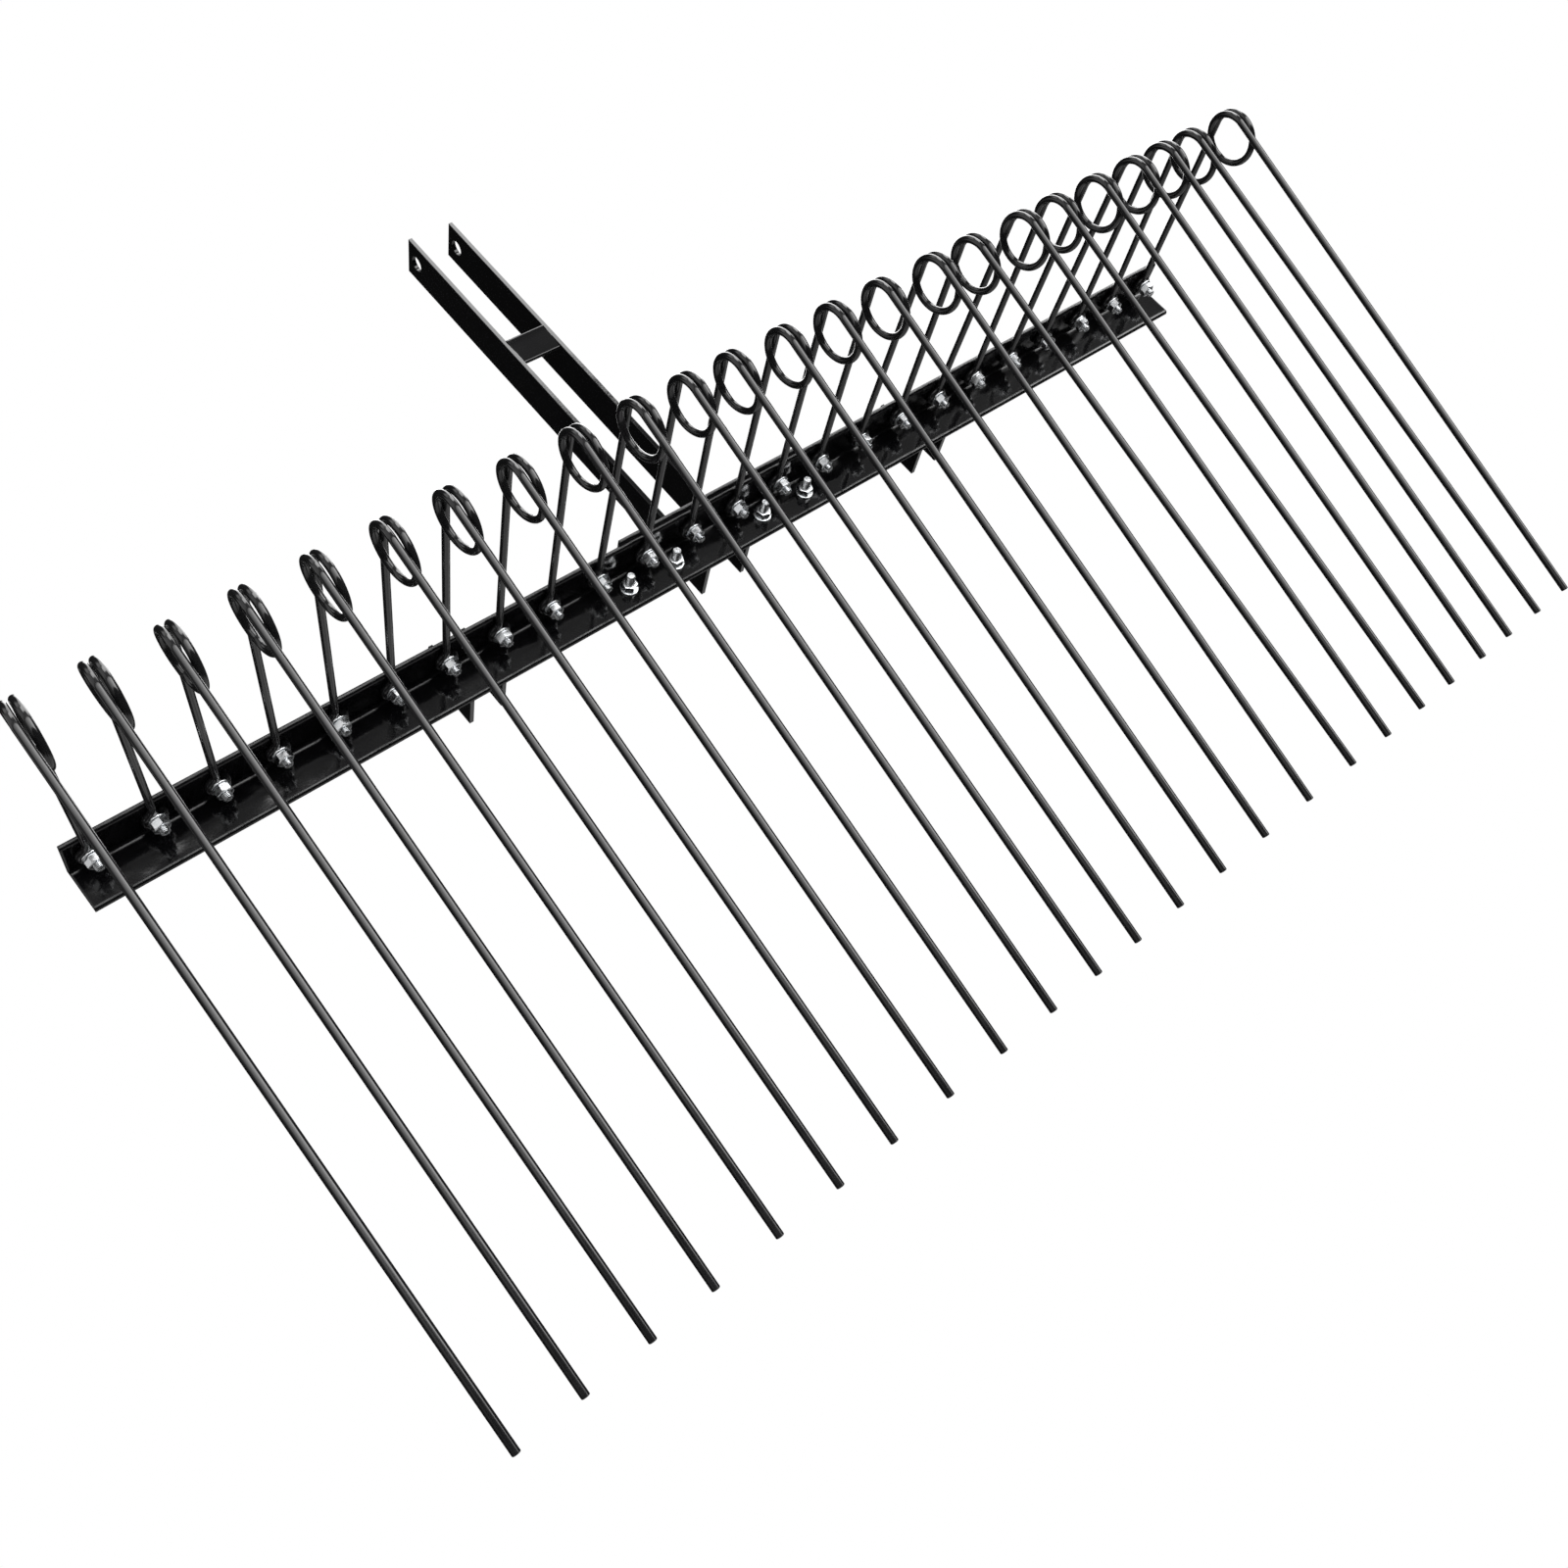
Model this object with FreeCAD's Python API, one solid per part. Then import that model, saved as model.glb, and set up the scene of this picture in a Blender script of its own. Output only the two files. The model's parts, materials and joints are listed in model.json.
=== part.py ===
"""A 60 inch pine straw rake for a three-point hitch, in millimetres.

A steel angle, the toolbar, carries 24 spring-wire tines. Each tine is one length of round
wire: an eye clamped under a bolt, a mounting leg that runs back along the underside of the
toolbar, a coil of about one and a third turns, and a long straight leg that combs the ground.
A second, shorter angle sits on the heel of the toolbar and carries the mast: two flat bars
with a pin hole at the top. Two pairs of lugs on the front of the toolbar take the lower pins.

The frame: X runs along the toolbar, Y points forward, to the tractor, and Z is up. The
origin is the middle of the top pin hole. Each tine has its own small yaw about its bolt and
its own small roll about its mounting leg, because one bolt holds it and the coils are bent
by hand.
"""
import FreeCAD
import Part
import math
import os

# Toolbar: a rolled equal angle, heel up and forward
toolbar_length = 1524.0
angle_leg = 50.8
angle_wall = 4.8
angle_root_radius = 4.0
angle_toe_radius = 3.4

# Hitch bracket: an angle of the same wall, nested over the toolbar's heel; its top flange
# covers this many tine bolts, ends short of the middle between two of them and is deep
# enough to reach a little past the toolbar's toe
bracket_tine_bolts = 4
bracket_top_depth = 59.3
bracket_end_inset = 2.6
bracket_foot_flare = 41.0

# Mast: two flat bars, a cross plate and the top pin hole
mast_bar_width = 50.8
mast_bar_wall = 5.0
mast_gap = 53.0
mast_pin_hole = 19.3
mast_pin_height = 523.0
mast_end_distance = 17.0
cross_plate_height = 38.0
cross_plate_wall = 5.0
cross_plate_rise = 308.0

# Lower lugs: two pairs of plates with the lower pin holes
lug_spread = 654.0
lug_gap = 35.0
lug_wall = 5.0
lug_reach = 50.8
lug_height = 76.0
lug_drop = 46.0
lug_pin_hole = 22.5
lug_hole_reach = 26.0
lug_hole_rise = 25.4

# Tines: spring wire, its eye, mounting leg, coil and long leg
tine_count = 24
tine_end_margin = 22.5
wire_diameter = 7.94
eye_clearance = 0.6
neck_radius = 12.0
mounting_leg_length = 265.0
coil_radius = 29.0
coil_pitch = 9.4
coil_joint_gap = 0.05
long_leg_length = 660.0
long_leg_chamfer = 0.6
long_leg_lean_degrees = 15.3
eye_tail_degrees = -35.0
tine_seat_gap = 0.02
tine_yaw_degrees = [-2.5, -2.25, -2.25, -2.0, -1.5, -0.75, -0.75, 0.0, 1.0, 1.75, 1.0, -0.5,
                    0.0, 0.25, 0.75, 3.0, 1.5, 4.25, 2.0, 2.75, 2.75, 0.25, -2.75, -1.25]
tine_roll_degrees = [-0.1, 0.0, -0.05, 0.05, -0.15, -0.25, -0.1, -0.25, -0.35, -0.3, -0.2, 0.2,
                     0.45, 0.45, 0.25, -0.05, -1.2, -0.55, -0.8, 0.05, 0.3, 0.75, 0.55, 1.35]

# Fasteners: metric ten bolts, plain washers and hexagon nuts
bolt_diameter = 10.0
bolt_hole_clearance = 0.5
bolt_end_chamfer = 1.0
bolt_head_height = 6.4
hexagon_flats = 16.0
hexagon_chamfer_degrees = 30.0
hexagon_spin_degrees = 37.0
nut_height = 8.4
nut_thread_clearance = 0.1
washer_diameter = 21.0
washer_wall = 2.0
washer_hole = 10.5
tine_bolt_overhang = 6.0
hitch_bolt_overhang = 13.0

# One overrun for every cut
overrun = 5.0

# Places that follow from the sizes above
tine_pitch = (toolbar_length - 2 * tine_end_margin) / (tine_count - 1)
bracket_top_length = bracket_tine_bolts * tine_pitch - 2 * bracket_end_inset
bracket_foot_length = bracket_top_length + 2 * bracket_foot_flare
bracket_front_y = -mast_bar_width / 2
heel_y = bracket_front_y - angle_wall
heel_z = -mast_pin_height
flange_middle = (angle_leg + angle_wall) / 2
bolt_line_y = heel_y - flange_middle
hitch_bolt_z = heel_z - angle_leg / 2
bracket_foot_z = heel_z + angle_wall - angle_leg
wire_radius = wire_diameter / 2
wire_z = heel_z - angle_wall - tine_seat_gap - wire_radius
washer_top_z = wire_z - wire_radius - tine_seat_gap
eye_radius = bolt_diameter / 2 + eye_clearance + wire_radius
neck_length = math.sqrt(eye_radius ** 2 + 2 * eye_radius * neck_radius)
coil_turn_degrees = 450.0 + long_leg_lean_degrees
coil_step_count = 5

X_AXIS = FreeCAD.Vector(1, 0, 0)
Y_AXIS = FreeCAD.Vector(0, 1, 0)
Z_AXIS = FreeCAD.Vector(0, 0, 1)


def box(low, high):
    """A box between two opposite corners, given as (x, y, z)."""
    size = [b - a for a, b in zip(low, high)]
    return Part.makeBox(size[0], size[1], size[2], FreeCAD.Vector(*low))


def rod(radius, start, end):
    """A round bar from one point to another."""
    reach = end - start
    return Part.makeCylinder(radius, reach.Length, start, reach)


def extruded_outline(points, direction):
    """A solid from a closed outline of points, pushed along a direction."""
    face = Part.Face(Part.makePolygon(points + [points[0]]))
    return face.extrude(direction)


def rounded(solid, radius, wanted):
    """The solid with a fillet on each edge whose middle point is wanted."""
    edges = [edge for edge in solid.Edges if wanted(edge.CenterOfMass)]
    return solid.makeFillet(radius, edges)


def tine_x(index):
    """The place along the toolbar of one tine's bolt."""
    return (index - (tine_count - 1) / 2) * tine_pitch


def hitch_bolt_places():
    """The hitch bolts stand midway between the bracket's tine bolts, as many on each side."""
    steps_out = range(1, bracket_tine_bolts // 2 + 1)
    return [side * steps * tine_pitch for side in (-1, 1) for steps in steps_out]


def make_toolbar():
    """A rolled angle with a hole for each tine bolt and for each hitch bolt."""
    half = toolbar_length / 2
    corners = [(0.0, 0.0), (-angle_leg, 0.0), (-angle_leg, -angle_wall), (-angle_wall, -angle_wall),
               (-angle_wall, -angle_leg), (0.0, -angle_leg)]
    points = [FreeCAD.Vector(-half, heel_y + y, heel_z + z) for y, z in corners]
    bar = extruded_outline(points, X_AXIS * toolbar_length)
    root_y = heel_y - angle_wall
    root_z = heel_z - angle_wall
    near = angle_wall / 2
    bar = rounded(bar, angle_root_radius,
                  lambda p: abs(p.y - root_y) < near and abs(p.z - root_z) < near and abs(p.x) < near)
    bar = rounded(bar, angle_toe_radius,
                  lambda p: abs(p.x) < near and (
                      (abs(p.y - heel_y + angle_leg) < near / 2 and abs(p.z - root_z) < near / 2)
                      or (abs(p.z - heel_z + angle_leg) < near / 2 and abs(p.y - root_y) < near / 2)))
    hole_radius = bolt_diameter / 2 + bolt_hole_clearance
    for index in range(tine_count):
        top = FreeCAD.Vector(tine_x(index), bolt_line_y, heel_z + overrun)
        bar = bar.cut(rod(hole_radius, top, top - Z_AXIS * (angle_wall + 2 * overrun)))
    for x in hitch_bolt_places():
        front = FreeCAD.Vector(x, heel_y + overrun, hitch_bolt_z)
        bar = bar.cut(rod(hole_radius, front, front - Y_AXIS * (angle_wall + 2 * overrun)))
    return bar


def make_bracket():
    """An angle over the toolbar's heel: a plain top flange and a front flange that widens down."""
    top_half = bracket_top_length / 2
    foot_half = bracket_foot_length / 2
    top = box((-top_half, heel_y + angle_wall - bracket_top_depth, heel_z),
              (top_half, heel_y + angle_wall, heel_z + angle_wall))
    toe_y = heel_y + angle_wall - bracket_top_depth
    top = rounded(top, angle_toe_radius,
                  lambda p: abs(p.y - toe_y) < angle_wall / 2 and p.z < heel_z + angle_wall / 4)
    outline = [(-top_half, heel_z + angle_wall), (-top_half, heel_z), (-foot_half, bracket_foot_z),
               (foot_half, bracket_foot_z), (top_half, heel_z), (top_half, heel_z + angle_wall)]
    points = [FreeCAD.Vector(x, heel_y, z) for x, z in outline]
    front = extruded_outline(points, Y_AXIS * angle_wall)
    bracket = top.fuse(front).removeSplitter()
    hole_radius = bolt_diameter / 2 + bolt_hole_clearance
    for index in range(tine_count):
        if abs(tine_x(index)) < top_half:
            low = FreeCAD.Vector(tine_x(index), bolt_line_y, heel_z - overrun)
            bracket = bracket.cut(rod(hole_radius, low, low + Z_AXIS * (angle_wall + 2 * overrun)))
    for x in hitch_bolt_places():
        back = FreeCAD.Vector(x, heel_y - overrun, hitch_bolt_z)
        bracket = bracket.cut(rod(hole_radius, back, back + Y_AXIS * (angle_wall + 2 * overrun)))
    return bracket


def make_mast_bar(side):
    """One upright flat bar on the front of the bracket, with the top pin hole."""
    inner = mast_gap / 2
    outer = inner + mast_bar_wall
    low_x, high_x = sorted((side * inner, side * outer))
    bar = box((low_x, bracket_front_y, bracket_foot_z),
              (high_x, bracket_front_y + mast_bar_width, mast_end_distance))
    start = FreeCAD.Vector(low_x - overrun, 0, 0)
    return bar.cut(rod(mast_pin_hole / 2, start, start + X_AXIS * (mast_bar_wall + 2 * overrun)))


def make_cross_plate():
    """A plate between the mast bars, level with their rear edges."""
    half = mast_gap / 2
    low_z = heel_z + cross_plate_rise
    return box((-half, bracket_front_y, low_z),
               (half, bracket_front_y + cross_plate_wall, low_z + cross_plate_height))


def make_lug_pair(side):
    """Two plates on the front of the toolbar with a lower pin hole through both."""
    plates = []
    foot_z = heel_z - lug_drop
    for edge in (-1, 1):
        inner = side * lug_spread / 2 + edge * lug_gap / 2
        low_x, high_x = sorted((inner, inner + edge * lug_wall))
        plate = box((low_x, heel_y, foot_z), (high_x, heel_y + lug_reach, foot_z + lug_height))
        start = FreeCAD.Vector(low_x - overrun, heel_y + lug_hole_reach, foot_z + lug_hole_rise)
        hole = rod(lug_pin_hole / 2, start, start + X_AXIS * (lug_wall + 2 * overrun))
        plates.append(plate.cut(hole))
    return Part.makeCompound(plates)


def arc_between(start, corner, end):
    """The arc that leaves start towards corner and reaches end coming from it."""
    middle = (start + end) / 2
    half_chord = (end - start).Length / 2
    half_turn = math.acos(half_chord / (corner - start).Length)
    share = math.tan(half_turn / 2) / math.tan(half_turn)
    return Part.Arc(start, middle + (corner - middle) * share, end).toShape()


def biarc(start, start_way, end, end_way):
    """Two arcs that meet smoothly, from a point and way to another point and way."""
    span = end - start
    ways = start_way + end_way
    spread = 2 * (1 - start_way.dot(end_way))
    along = span.dot(ways)
    reach = (math.sqrt(along ** 2 + spread * span.dot(span)) - along) / spread
    first = start + start_way * reach
    last = end - end_way * reach
    meeting = (first + last) / 2
    return [arc_between(start, first, meeting), arc_between(meeting, last, end)]


def polar(centre, radius, degrees):
    """A point of a circle in the plane of the eye."""
    turn = math.radians(degrees)
    return centre + FreeCAD.Vector(radius * math.cos(turn), radius * math.sin(turn), 0)


def eye_edges():
    """The eye round the bolt and the neck that brings the wire back to the middle."""
    bolt = FreeCAD.Vector(0, 0, 0)
    neck = FreeCAD.Vector(-neck_radius, -neck_length, 0)
    joint_degrees = 180.0 + math.degrees(math.atan2(neck_length, neck_radius))
    sixths = [eye_tail_degrees + (joint_degrees - eye_tail_degrees) * step / 6 for step in range(7)]
    edges = []
    for step in (0, 2, 4):
        points = [polar(bolt, eye_radius, degrees) for degrees in sixths[step:step + 3]]
        edges.append(Part.Arc(*points).toShape())
    neck_degrees = joint_degrees - 180.0
    points = [polar(neck, neck_radius, degrees) for degrees in (neck_degrees, neck_degrees / 2, 0.0)]
    edges.append(Part.Arc(*points).toShape())
    return edges


def coil_point(degrees):
    """A point of the coil's centre line, turned back and down from the top."""
    turn = math.radians(degrees)
    return FreeCAD.Vector(-coil_pitch * degrees / 360.0,
                          -mounting_leg_length - coil_radius * math.sin(turn),
                          coil_radius * (math.cos(turn) - 1))


def coil_way(degrees, climb):
    """The way of the wire at a point of the coil, with or without its sideways climb."""
    turn = math.radians(degrees)
    rise = -coil_pitch / (2 * math.pi) if climb else 0.0
    way = FreeCAD.Vector(rise, -coil_radius * math.cos(turn), -coil_radius * math.sin(turn))
    return way.normalize()


def rolled(vector, roll):
    """A vector turned about the mounting leg by the tine's roll."""
    turn = math.radians(roll)
    return FreeCAD.Vector(vector.x * math.cos(turn) + vector.z * math.sin(turn), vector.y,
                          vector.z * math.cos(turn) - vector.x * math.sin(turn))


def coil_edges(roll):
    """The coil as pairs of arcs, each pair about a quarter turn."""
    edges = []
    for step in range(coil_step_count):
        start = coil_turn_degrees * step / coil_step_count
        end = coil_turn_degrees * (step + 1) / coil_step_count
        edges += biarc(rolled(coil_point(start), roll), rolled(coil_way(start, step > 0), roll),
                       rolled(coil_point(end), roll),
                       rolled(coil_way(end, step < coil_step_count - 1), roll))
    return edges


def least_gap(wire):
    """The least gap of the wire to itself, measured between points along its length."""
    spacing = wire_diameter / 4
    points = wire.discretize(Distance=spacing)
    skip = int(math.pi * wire_diameter / spacing)
    least = wire.Length
    for index, point in enumerate(points):
        for other in points[index + skip:]:
            least = min(least, (other - point).Length)
    return least - wire_diameter


def placed(shape, index):
    """The shape turned about its bolt by the tine's yaw and put in its place on the toolbar."""
    shape.rotate(FreeCAD.Vector(0, 0, 0), Z_AXIS, tine_yaw_degrees[index % len(tine_yaw_degrees)])
    shape.translate(FreeCAD.Vector(tine_x(index), bolt_line_y, wire_z))
    return shape


def make_tine(index):
    """The fixed spring, which is eye, mounting leg and coil, and the long leg that moves."""
    roll = tine_roll_degrees[index % len(tine_roll_degrees)]
    leg_start = FreeCAD.Vector(0, -neck_length, 0)
    leg_end = FreeCAD.Vector(0, -mounting_leg_length, 0)
    straight = Part.LineSegment(leg_start, leg_end).toShape()
    path = Part.Wire(eye_edges() + [straight] + coil_edges(roll))
    tail = polar(FreeCAD.Vector(0, 0, 0), eye_radius, eye_tail_degrees)
    way = polar(FreeCAD.Vector(0, 0, 0), 1, eye_tail_degrees + 90)
    section = Part.Wire(Part.makeCircle(wire_radius, tail, way))
    spring = path.makePipeShell([section], True, False)
    if not spring.isValid() or spring.Volume < 0:
        spring = spring.reversed()
    ideal = path.Length * math.pi * wire_radius ** 2
    gap = least_gap(path)
    print(f"tine {index + 1:02d}: volume {spring.Volume / ideal:.5f} of section times length, "
          f"least gap to itself {gap:.2f} mm")
    end = rolled(coil_point(coil_turn_degrees), roll)
    way = rolled(coil_way(coil_turn_degrees, False), roll)
    start = end + way * coil_joint_gap
    leg = rod(wire_radius, start, start + way * long_leg_length)
    tip = [edge for edge in leg.Edges if edge.Closed and (edge.CenterOfMass - start).Length > coil_radius]
    leg = leg.makeChamfer(long_leg_chamfer, tip)
    return placed(spring, index), placed(leg, index)


def hexagon(height, chamfer_both):
    """A hexagon prism from zero up, its corners cut by a cone at the top, or at both ends."""
    corner = hexagon_flats / math.sqrt(3)
    points = [FreeCAD.Vector(corner * math.cos(math.radians(60 * side)),
                             corner * math.sin(math.radians(60 * side)), 0) for side in range(6)]
    prism = extruded_outline(points, Z_AXIS * height)
    flat = hexagon_flats / 2
    reach = 2 * corner
    steep = (reach - flat) * math.tan(math.radians(hexagon_chamfer_degrees))
    profile = [(0, height), (flat, height), (reach, height - steep)]
    if chamfer_both:
        profile += [(reach, steep), (flat, 0), (0, 0)]
    else:
        profile += [(reach, 0), (0, 0)]
    outline = [FreeCAD.Vector(x, 0, z) for x, z in profile]
    half = Part.Face(Part.makePolygon(outline + [outline[0]]))
    barrel = half.revolve(FreeCAD.Vector(0, 0, 0), Z_AXIS, 360)
    return prism.common(barrel)


def make_bolt(grip, overhang):
    """A hexagon bolt along Z: its head stands on zero and its shank goes down."""
    reach = grip + overhang
    shank = Part.makeCylinder(bolt_diameter / 2, reach, FreeCAD.Vector(0, 0, -reach))
    end = [edge for edge in shank.Edges if edge.Closed and edge.CenterOfMass.z < -reach / 2]
    shank = shank.makeChamfer(bolt_end_chamfer, end)
    return hexagon(bolt_head_height, False).fuse(shank).removeSplitter()


def make_nut():
    """A hexagon nut from zero up."""
    hole = Part.makeCylinder(bolt_diameter / 2 + nut_thread_clearance, nut_height + 2 * overrun,
                             FreeCAD.Vector(0, 0, -overrun))
    return hexagon(nut_height, True).cut(hole)


def make_washer():
    """A plain washer from zero up."""
    ring = Part.makeCylinder(washer_diameter / 2, washer_wall)
    hole = Part.makeCylinder(washer_hole / 2, washer_wall + 2 * overrun, FreeCAD.Vector(0, 0, -overrun))
    return ring.cut(hole)


def turned(shape, place, degrees_x, degrees_z):
    """A copy of a fastener, spun about its own axis, tipped about X and moved to a place."""
    copy = shape.copy()
    copy.rotate(FreeCAD.Vector(0, 0, 0), Z_AXIS, degrees_z)
    copy.rotate(FreeCAD.Vector(0, 0, 0), X_AXIS, degrees_x)
    copy.translate(place)
    return copy


def make_fasteners():
    """The tine bolts, the hitch bolts, and all the nuts and washers on them."""
    nut = make_nut()
    washer = make_washer()
    tine_bolts = []
    hitch_bolts = []
    nuts = []
    washers = []
    for index in range(tine_count):
        x = tine_x(index)
        spin = index * hexagon_spin_degrees
        seat_z = heel_z + (angle_wall if abs(x) < bracket_top_length / 2 else 0.0)
        nut_z = washer_top_z - washer_wall - nut_height
        grip = seat_z - nut_z
        bolt = make_bolt(grip, tine_bolt_overhang)
        tine_bolts.append(turned(bolt, FreeCAD.Vector(x, bolt_line_y, seat_z), 0, spin))
        washers.append(turned(washer, FreeCAD.Vector(x, bolt_line_y, washer_top_z - washer_wall), 0, 0))
        nuts.append(turned(nut, FreeCAD.Vector(x, bolt_line_y, nut_z), 0, spin))
    grip = 2 * angle_wall + washer_wall + nut_height
    bolt = make_bolt(grip, hitch_bolt_overhang)
    washer_y = heel_y - angle_wall - washer_wall
    for index, x in enumerate(hitch_bolt_places()):
        spin = index * hexagon_spin_degrees
        hitch_bolts.append(turned(bolt, FreeCAD.Vector(x, heel_y + angle_wall, hitch_bolt_z), -90, spin))
        washers.append(turned(washer, FreeCAD.Vector(x, washer_y, hitch_bolt_z), -90, 0))
        nuts.append(turned(nut, FreeCAD.Vector(x, washer_y - nut_height, hitch_bolt_z), -90, spin))
    return {"tine_bolts": tine_bolts, "hitch_bolts": hitch_bolts, "hex_nuts": nuts, "flat_washers": washers}


def main():
    """Build every piece and write one STEP file for each node."""
    os.makedirs("parts", exist_ok=True)
    parts = {
        "toolbar_angle": make_toolbar(),
        "hitch_bracket_angle": make_bracket(),
        "mast_bar_left": make_mast_bar(-1),
        "mast_bar_right": make_mast_bar(1),
        "mast_cross_plate": make_cross_plate(),
        "lower_lugs_left": make_lug_pair(-1),
        "lower_lugs_right": make_lug_pair(1),
    }
    for name, pieces in make_fasteners().items():
        parts[name] = Part.makeCompound(pieces)
    for index in range(tine_count):
        spring, leg = make_tine(index)
        parts[f"tine_{index + 1:02d}_spring"] = spring
        parts[f"tine_{index + 1:02d}_leg"] = leg
    for name, shape in parts.items():
        assert shape.isValid(), name
        shape.exportStep(f"parts/{name}.step")
    print(f"{len(parts)} nodes written")


main()
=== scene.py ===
# %% [markdown]
# A pine straw rake with 24 spring tines
#
# This lesson dresses a finished CAD model of a rake in Blender. The CAD solids give every
# place and size. Blender adds what makes them look like painted and plated steel: the paint's
# gloss, the drawn wire, the threads on the bolts and the welds.

# %% Load the model
import json
import math

import bmesh
import bpy
import numpy as np
from mathutils import Matrix, Vector


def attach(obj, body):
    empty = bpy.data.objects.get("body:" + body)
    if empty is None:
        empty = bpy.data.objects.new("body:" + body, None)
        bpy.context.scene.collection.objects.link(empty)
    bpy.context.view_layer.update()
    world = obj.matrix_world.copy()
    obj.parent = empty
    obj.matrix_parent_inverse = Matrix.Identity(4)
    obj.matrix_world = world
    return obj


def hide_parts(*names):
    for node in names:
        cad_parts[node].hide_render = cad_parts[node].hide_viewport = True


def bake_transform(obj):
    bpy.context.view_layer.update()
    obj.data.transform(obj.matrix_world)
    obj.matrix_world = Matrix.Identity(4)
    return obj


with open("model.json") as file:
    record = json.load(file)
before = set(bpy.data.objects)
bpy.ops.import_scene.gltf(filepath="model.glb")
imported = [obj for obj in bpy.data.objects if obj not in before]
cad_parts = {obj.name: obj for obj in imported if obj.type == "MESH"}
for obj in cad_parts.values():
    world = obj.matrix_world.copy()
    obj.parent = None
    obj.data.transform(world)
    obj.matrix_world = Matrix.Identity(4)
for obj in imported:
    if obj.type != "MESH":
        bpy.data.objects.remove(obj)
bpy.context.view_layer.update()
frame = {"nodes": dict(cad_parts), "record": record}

# %% [markdown]
# Sizes
#
# The solids are written in millimetres and Blender works in metres, so one factor turns one
# into the other. The sizes below are the ones that new surfaces need in order to sit on the
# solids. The zero point is the middle of the top link pin hole, X runs along the toolbar,
# Y points forward to the tractor and Z is up.

# %% Named sizes
MM = 0.001
TINE_COUNT = 24
TOOLBAR_LENGTH = 1524.0
TINE_END_MARGIN = 22.5
TINE_PITCH = (TOOLBAR_LENGTH - 2 * TINE_END_MARGIN) / (TINE_COUNT - 1)
ANGLE_LEG = 50.8
ANGLE_WALL = 4.8
BAR_WIDTH = 50.8
BAR_WALL = 5.0
BAR_GAP = 53.0
MAST_PIN_HEIGHT = 523.0
LUG_SPREAD = 654.0
LUG_GAP = 35.0
LUG_WALL = 5.0
LUG_DROP = 46.0
BOLT_RADIUS = 5.0
HEEL_Y = -BAR_WIDTH / 2 - ANGLE_WALL
HEEL_Z = -MAST_PIN_HEIGHT
BOLT_LINE_Y = HEEL_Y - (ANGLE_LEG + ANGLE_WALL) / 2
WIRE_RADIUS = 7.94 / 2
SEAT_GAP = 0.02
WIRE_Z = HEEL_Z - ANGLE_WALL - SEAT_GAP - WIRE_RADIUS
TINE_X = (np.arange(TINE_COUNT) - (TINE_COUNT - 1) / 2) * TINE_PITCH
print("tines from", round(float(TINE_X[0]), 1), "to", round(float(TINE_X[-1]), 1), "mm")

# %% [markdown]
# The camera
#
# The photograph was taken from behind the rake, low and from its left, with the picture tilted
# so that the toolbar climbs to the right. The place, the looking direction and the focal
# length were solved from the bolts, the tine tips and the corners of the mast. The camera is a
# little below the tips and looks up. A small shift stands for the crop of the picture.

# %% Camera
camera_place = Vector((-0.9084, -1.5122, -1.3205))
looking = Vector((0.46695, 0.84254, 0.26850)).normalized()
picture_up = Vector((0.48773, -0.49866, 0.71656))
picture_right = looking.cross(picture_up).normalized()
picture_up = picture_right.cross(looking).normalized()
focal_pixels = 1689.89
centre_pixels = (848.96, 783.40)
picture_pixels = 1600

camera_data = bpy.data.cameras.new("camera")
camera_data.sensor_width = 36.0
camera_data.lens = camera_data.sensor_width * focal_pixels / picture_pixels
camera_data.shift_x = 0.5 - centre_pixels[0] / picture_pixels
camera_data.shift_y = centre_pixels[1] / picture_pixels - 0.5
camera = bpy.data.objects.new("camera", camera_data)
bpy.context.scene.collection.objects.link(camera)
turned = Matrix((picture_right, picture_up, -looking)).transposed().to_4x4()
camera.matrix_world = Matrix.Translation(camera_place) @ turned
bpy.context.scene.camera = camera
bpy.context.scene.view_settings.view_transform = "Standard"
print("lens", round(camera_data.lens, 2), "mm")

# %% [markdown]
# Colours and nodes
#
# Colours are easiest to pick as the hex values of a screen, but a renderer adds up light, so
# one function turns a hex value to linear light. Another adds one node to a material, sets it
# up and joins its inputs, which keeps each material short enough to read.

# %% Colour and node helpers
def colour(text):
    """Linear red, green, blue and alpha from an sRGB hex value such as #1a2b3c."""
    parts = np.array([int(text[i:i + 2], 16) for i in (1, 3, 5)]) / 255
    light = np.where(parts <= 0.04045, parts / 12.92, ((parts + 0.055) / 1.055) ** 2.4)
    return (*light.tolist(), 1.0)


def node(tree, kind, settings=None, **inputs):
    """Adds one node. Settings are its properties; an input is a value, or a socket to join."""
    made = tree.nodes.new(kind)
    for name, value in (settings or {}).items():
        setattr(made, name, value)
    for name, value in inputs.items():
        socket = made.inputs[int(name[1:])] if name[1:].isdigit() else made.inputs[name.replace("_", " ")]
        if isinstance(value, bpy.types.NodeSocket):
            tree.links.new(value, socket)
        else:
            socket.default_value = value
    return made


def empty_material(name):
    """A material with no nodes yet, and its tree."""
    made = bpy.data.materials.new(name)
    made.use_nodes = True
    made.node_tree.nodes.clear()
    return made, made.node_tree


def ramp(tree, factor, stops):
    """A colour ramp from a list of places and colours."""
    made = node(tree, "ShaderNodeValToRGB", i0=factor)
    while len(made.color_ramp.elements) < len(stops):
        made.color_ramp.elements.new(0.5)
    for element, (place, value) in zip(made.color_ramp.elements, stops):
        element.position = place
        element.color = value
    return made.outputs["Color"]


def grey(value):
    """A grey of that linear strength, for ramps that drive roughness."""
    return (value, value, value, 1.0)

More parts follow.
